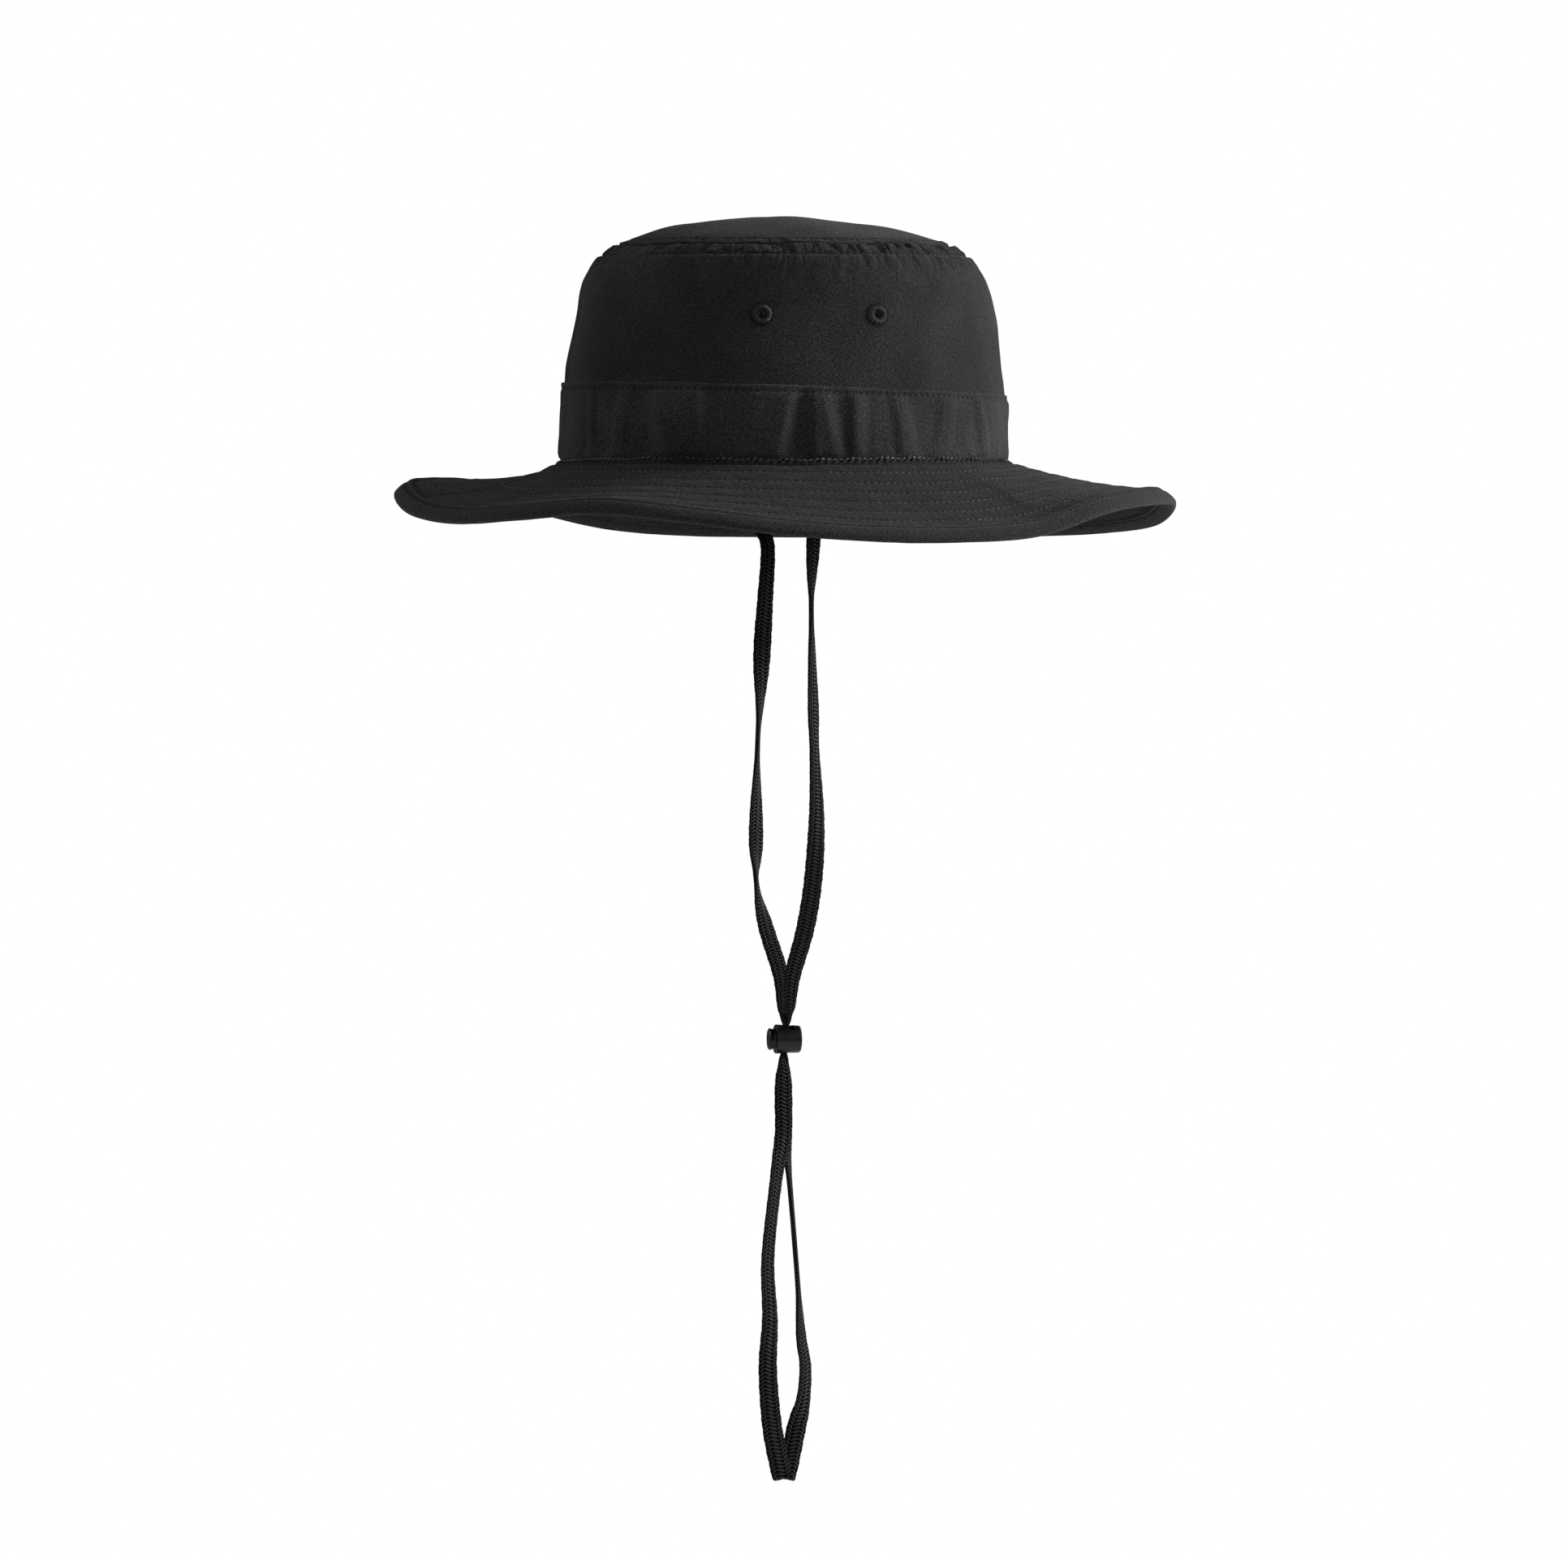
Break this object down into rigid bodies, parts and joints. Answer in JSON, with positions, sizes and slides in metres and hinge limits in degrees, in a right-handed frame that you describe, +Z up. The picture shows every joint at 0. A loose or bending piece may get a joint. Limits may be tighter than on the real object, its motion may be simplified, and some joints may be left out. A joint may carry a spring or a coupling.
{
  "type": "bucket hat",
  "caption": "Wide-brimmed bucket hat with a stitched, down-turned brim, vented crown and a hanging chin cord closed by a sprung cord lock.",
  "frame": {"origin": "centre of the head opening, on the seam where the brim meets the crown", "axes": "+X to the hat's front, +Y to the wearer's left, +Z up through the crown; the chin cord hangs along -Z"},
  "size_m": [0.3585, 0.3172, 0.5784],
  "materials": {
    "crown_cloth": "plain weave nylon, matt with a faint sheen",
    "band_cloth": "plain weave nylon, softly wrinkled",
    "brim_cloth": "plain weave nylon, quilted by rows of stitching",
    "under_cloth": "plain weave nylon, matt",
    "binding_tape": "folded bias tape, matt",
    "stiffener_felt": "non-woven stiffener",
    "seam_tape": "woven seam tape",
    "sweatband_cloth": "soft wicking tape",
    "label_satin": "blank satin label",
    "eyelet_thread": "close embroidered thread",
    "cord_braid": "flat tubular braid",
    "lock_plastic": "moulded, satin gloss",
    "button_plastic": "moulded, satin gloss",
    "spring_steel": "bright spring wire"
  },
  "bodies": {
    "hat": {"crown_tip": "crown_cloth", "crown_side_left": "crown_cloth", "crown_side_right": "crown_cloth", "crown_band": "band_cloth", "tip_seam_tape": "seam_tape", "band_seam_tape": "seam_tape", "sweatband": "sweatband_cloth", "size_label": "label_satin", "brim_top_left": "brim_cloth", "brim_top_right": "brim_cloth", "brim_stiffener_left": "stiffener_felt", "brim_stiffener_right": "stiffener_felt", "brim_under_left": "under_cloth", "brim_under_right": "under_cloth", "brim_binding": "binding_tape", "eyelet_left_front": "eyelet_thread", "eyelet_left_rear": "eyelet_thread", "eyelet_right_front": "eyelet_thread", "eyelet_right_rear": "eyelet_thread", "cord_end_left": "cord_braid", "cord_end_right": "cord_braid"},
    "cord": {"chin_cord": "cord_braid"},
    "lock": {"lock_barrel": "lock_plastic", "lock_spring": "spring_steel"},
    "button": {"lock_plunger": "button_plastic"}
  },
  "joints": [
    {"name": "cord_swing", "type": "hinge", "parent": "hat", "child": "cord", "pos_m": [0, 0, -0.0026], "axis": [0, 1, 0], "range_deg": [-60, 60]},
    {"name": "lock_slide", "type": "slide", "parent": "cord", "child": "lock", "axis": [0, 0, 1], "range_m": [-0.11, 0.13], "deforming": ["chin_cord"]},
    {"name": "button_press", "type": "slide", "parent": "lock", "child": "button", "axis": [-1, 0, 0], "range_m": [0, 0.0024], "stiffness_N_per_m": 400, "springref_m": -0.004, "deforming": ["lock_spring", "chin_cord"]}
  ]
}
